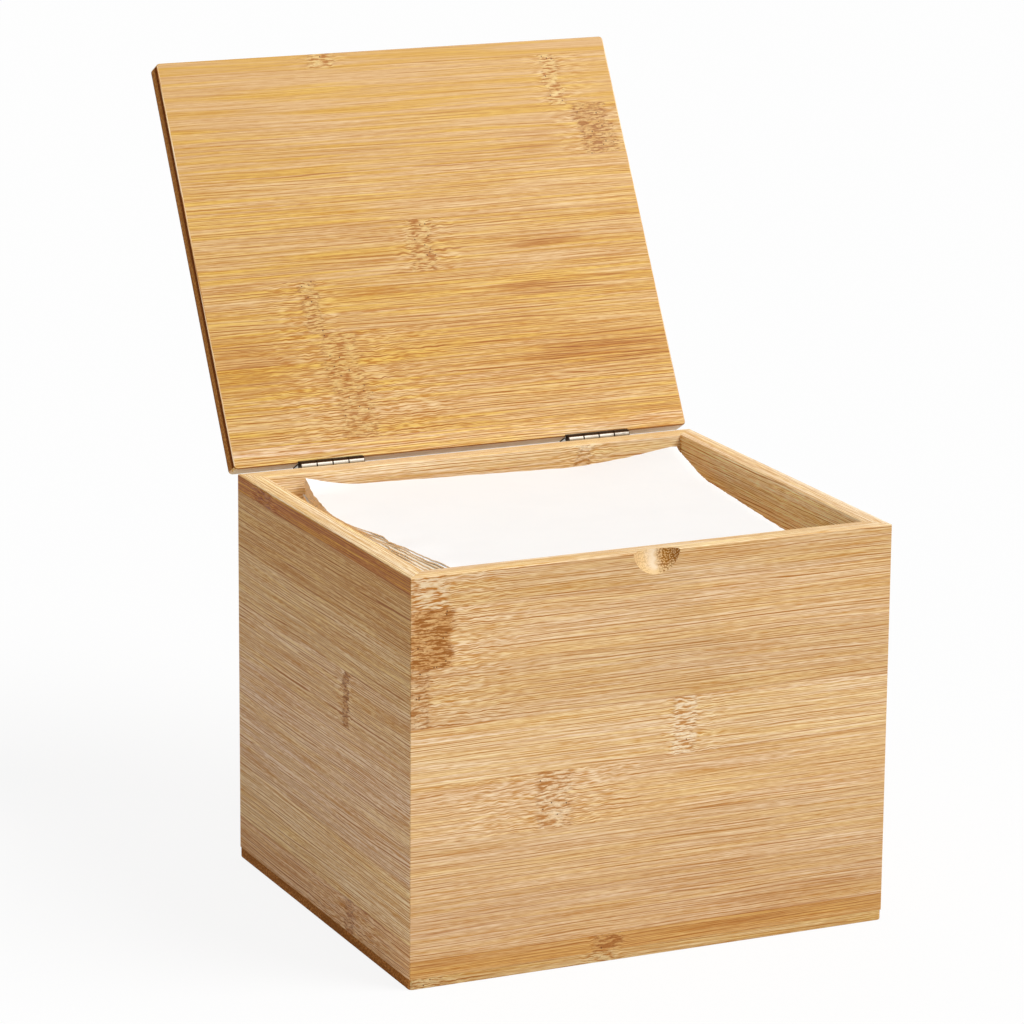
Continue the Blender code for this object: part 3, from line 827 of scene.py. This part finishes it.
# Painted shade and bounce: the lower tissues are tinted tan as warm light off the bamboo, and the tan side
# tint is painted shade
under_painted_bounce_white, under_painted_bounce_shade = (0.91, 0.81, 0.66), (0.89, 0.78, 0.61)
tissue_side_painted_shade = (0.95, 0.78, 0.57)
crepe_scale, crepe_stretch, crepe_relief = 700.0, (1.0, 3.0, 1.0), 0.0001
mottle_scale = 60.0

# Corners that stand up: which side and end, the rise, and how far it reaches along X and Y
curls = (
    (-1, 1, 0.0037, 0.020, 0.013),
    (1, 1, 0.0056, 0.044, 0.034),
    (-1, -1, 0.0022, 0.020, 0.060),
)
curl_depth, curl_power = 0.016, 1.5


def rise(x, y, depth):
    """How far the paper stands up at a place on the pile, less and less with depth below the top."""
    lift = 0.0
    for side, end, height, reach_x, reach_y in curls:
        from_side = max(0.0, 1 - (pile_width / 2 - side * x) / reach_x)
        from_end = max(0.0, 1 - (pile_depth / 2 - end * y) / reach_y)
        lift += height * (from_side * from_end) ** curl_power
    return lift * max(0.0, 1 - depth / curl_depth)


def paper(name, white, shade, side_painted_shade):
    """Soft white tissue with the fine wrinkles of crepe. The side tint is painted shade, warm with light
    off the bamboo, on what doesn't face up.
    """
    finish, shader, place = new_finish(name)
    crepe = place.node("ShaderNodeMapping", {}, {"Vector": place, "Scale": crepe_stretch})
    crepe = crepe.cloud(crepe_scale, 6.0)
    mottle = place.cloud(mottle_scale, 2.0).ramp((0.35, shade), (0.6, white))
    upward = place.node("ShaderNodeNewGeometry", {}, {}, "Normal").part("Z")
    # Painted shade: faces that don't face up take the tan side tint
    mottle.mixed(side_painted_shade, 1 - upward.fade(0.15, 0.6)).feeds(shader, "Base Color")
    shader.inputs["Roughness"].default_value = 0.95
    shader.inputs["Specular IOR Level"].default_value = 0.1
    crepe.raises(shader, 0.25, crepe_relief)
    return finish


def lay(piece):
    """Turns a piece made square on the origin to how the pile lies in the box."""
    piece.rotation_euler.z = pile_turn
    piece.location = pile_middle
    bpy.ops.object.select_all(action="DESELECT")
    piece.select_set(True)
    bpy.context.view_layer.objects.active = piece
    bpy.ops.object.transform_apply()


tissue_paper = paper("tissue_paper", tissue_white, tissue_shade, tissue_side_painted_shade)
under_paper_painted_bounce = paper("under_paper_painted_bounce", under_painted_bounce_white, under_painted_bounce_shade, tissue_side_painted_shade)
pile_top = level - loose_depth
pile_height = pile_top - pile_foot
pile_half = Vector((pile_width / 2, pile_depth / 2, 0))
pile = board("pile", Vector((0, 0, pile_foot)) - pile_half, Vector((0, 0, pile_top)) + pile_half)
bundle_count = round(pile_height / bundle_pitch)
select(pile, "EDGE", level_edge)
bpy.ops.mesh.subdivide(number_cuts=cells_round_pile - 1)
select(pile, "EDGE", upright)
bpy.ops.mesh.subdivide(number_cuts=rows_per_bundle * bundle_count - 1)
bpy.ops.object.mode_set(mode="OBJECT")
for vertex in pile.data.vertices:
    x, y, z = vertex.co
    bundle = (z - pile_foot) / pile_height * bundle_count
    swell = bundle_swell * abs(math.sin(math.pi * bundle)) ** 0.5
    sway = bundle_sway * noise.noise(Vector((x * 30, y * 30, math.floor(bundle) * 0.7)))
    if abs(x) > pile_width / 2 - side_slack:
        vertex.co.x += math.copysign(swell + sway - bundle_swell * 2, x)
    if abs(y) > pile_depth / 2 - side_slack:
        vertex.co.y += math.copysign(swell + sway - bundle_swell * 2, y)
    vertex.co.z += rise(x, y, level - z) * (z - pile_foot) / pile_height
bpy.ops.object.shade_smooth_by_angle(angle=flat_angle)
pile.data.materials.append(tissue_paper)
lay(pile)
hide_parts("tissue_stack")
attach(pile, "box")

# Loose tissues on top: each a sheet cut flat and folded over once at the right, the open edges left.
# They are laid one on another, and their left edges have slipped in and lifted towards the front.
ply_gap = 0.00052
ply_thickness = 0.00046
loose_count = 5
cells_wide, cells_deep = 140, 110
fold_radius = ply_gap / 2
fold_start = pile_width - fold_radius
flat_width = 2 * fold_start + math.pi * fold_radius
paper_angle = math.radians(50)

# The slip: where it starts and its length along the left edge, how far it goes, and its waviness
slip_start, slip_length, slip_in = 0.026, 0.084, 0.0140
slip_out, slip_out_reach = 0.0024, 0.026
slip_width, slip_plies = 0.06, 10
shared_meander, own_meander, flutter_height = 0.0016, 0.0011, 0.0009
shared_waves, own_waves, flutter_waves_x, flutter_waves_y = 42, 65, 40, 85

# Teeth of the torn edges: how many there are to a metre, and how deep the coarse and the fine ones go
teeth_per_metre, fine_teeth = 230, 2.7
coarse_tooth, fine_tooth = 0.00045, 0.0003


def folded(along_sheet):
    """Where a point of the flat sheet lies across the pile once it is folded, and how deep."""
    if along_sheet < fold_start:
        return -pile_width / 2 + along_sheet, 2 * fold_radius
    if along_sheet > fold_start + math.pi * fold_radius:
        return -pile_width / 2 + flat_width - along_sheet, 0.0
    bend = (along_sheet - fold_start) / fold_radius
    return pile_width / 2 - fold_radius + fold_radius * math.sin(bend), fold_radius * (1 + math.cos(bend))


def slipped(y, ply, towards_front):
    """How far a ply's left edge has moved in, at a place along it."""
    late = min(1.0, max(0.0, (towards_front - 0.10) / 0.40))
    slip = slip_in * towards_front**1.25 * late * late * (3 - 2 * late)
    meander = shared_meander * noise.noise(Vector((3.1, y * shared_waves, ply * 0.13))) * towards_front**0.5
    own = noise.noise(Vector((9.7, y * own_waves, math.floor(ply) * 2.3)))
    meander += own_meander * own * min(1.0, towards_front * 2)
    sway_out = slip_out * max(0.0, 1 - abs(y - slip_start) / slip_out_reach)
    return slip - sway_out + meander


def torn(place, coarse_shift=(0, 0, 0), fine_shift=(0, 0, 0)):
    """How far a torn edge stands out of line at a place."""
    coarse = noise.noise(place + Vector(coarse_shift)) * coarse_tooth
    return coarse + noise.noise(place * fine_teeth + Vector(fine_shift)) * fine_tooth


def folded_tissue(name, order):
    """One tissue folded in two. Order counts from 0 at the top."""
    bpy.ops.object.select_all(action="DESELECT")
    bpy.ops.mesh.primitive_grid_add(x_subdivisions=cells_wide, y_subdivisions=cells_deep, size=1)
    sheet = bpy.context.object
    sheet.name = name
    top_ply = level - ply_thickness / 2 - order * 2 * ply_gap
    for vertex in sheet.data.vertices:
        x, depth = folded((vertex.co.x + 0.5) * flat_width)
        y = vertex.co.y * pile_depth
        ply = order * 2 + depth / ply_gap
        towards_front = max(0.0, (slip_start - y) / slip_length)
        loose = max(0.0, 1 - (ply / slip_plies) ** 1.2)
        near_left = max(0.0, 1 - (x + pile_width / 2) / slip_width) ** 1.5
        edge_x = abs(x) / (pile_width / 2)
        edge_y = abs(y) / (pile_depth / 2)
        x += near_left * loose * slipped(y, ply, towards_front)
        ragged = Vector((x * teeth_per_metre, y * teeth_per_metre, ply * 3.7))
        x += torn(ragged) * edge_x**12
        y += torn(ragged, (31, 7, 3), (9, 5, 1)) * edge_y**12
        flutter = noise.noise(Vector((x * flutter_waves_x, y * flutter_waves_y, ply * 0.22)))
        flutter = flutter * near_left**3 * loose
        ripples = flutter_height * flutter * min(1.0, 0.3 + towards_front)
        vertex.co = (x, y, top_ply - depth + rise(x, y, ply * ply_gap) + ripples)
    wall = sheet.modifiers.new("thickness", "SOLIDIFY")
    wall.thickness = ply_thickness
    wall.offset = 0
    bpy.ops.object.modifier_apply(modifier="thickness")
    bpy.ops.object.shade_smooth_by_angle(angle=paper_angle)
    sheet.data.materials.append(under_paper_painted_bounce if order else tissue_paper)
    lay(sheet)
    return sheet, (flat_width, pile_depth)


for order in range(loose_count):
    tissue, cut_size = folded_tissue(f"loose_tissue_{order + 1}", order)
    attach(tissue, "box")
    if order == 0:
        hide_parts("top_tissue")

# Studio: a plain white floor and surroundings, and one large soft lamp to the right of the camera.
# The left side of the box is lit by the surroundings alone.
floor_reach = 3.0
floor_paint = (0.90, 0.90, 0.90, 1)
floor_white = 0.88
white = (1, 1, 1, 1)
surround_strength = 0.42
lamp_spread = math.radians(35)
lamp_energy = 2.4
lamp_side = Vector((0.42, -0.36, 0.63))
lamp_place = (0.6, -0.8, 1.2)


def seen_in(tree):
    """1 for the rays that show a surface: straight to the camera, mirrored, or through glass."""
    rays = tree.nodes.new("ShaderNodeLightPath").outputs
    straight, mirrored = Tone(rays["Is Camera Ray"]), Tone(rays["Is Glossy Ray"])
    return (straight + mirrored + Tone(rays["Is Transmission Ray"])).at_most(1.0)


bpy.ops.object.select_all(action="DESELECT")
bpy.ops.mesh.primitive_plane_add(size=2 * floor_reach, location=(0, 0, 0))
floor = bpy.context.object
floor.name = "floor"
floor_finish, floor_shader = new_finish("white_floor")[:2]
floor_shader.inputs["Base Color"].default_value = floor_paint
floor_shader.inputs["Roughness"].default_value = 0.9
floor_shader.inputs["Specular IOR Level"].default_value = 0.0
floor_tree = floor_finish.node_tree
seen = seen_in(floor_tree)
glow = seen.node("ShaderNodeEmission", {}, {"Color": white, "Strength": 1.0})
shown_floor = seen.node("ShaderNodeMixShader", {}, {"Fac": seen * floor_white, 2: glow})
floor_tree.links.new(floor_shader.outputs[0], shown_floor.socket.node.inputs[1])
floor_tree.links.new(shown_floor.socket, floor_tree.nodes["Material Output"].inputs[0])
floor.data.materials.append(floor_finish)

world = bpy.data.worlds.new("surroundings")
bpy.context.scene.world = world
world.use_nodes = True
backdrop = world.node_tree.nodes["Background"]
backdrop.inputs["Color"].default_value = white
shown = seen_in(world.node_tree)
(shown * (1 - surround_strength) + surround_strength).feeds(backdrop, "Strength")

bpy.ops.object.light_add(type="SUN", location=lamp_place)
key = bpy.context.object
key.data.angle = lamp_spread
key.data.energy = lamp_energy
key.rotation_euler = lamp_side.to_track_quat("Z", "Y").to_euler()

view = bpy.context.scene.view_settings
view.view_transform = "Standard"
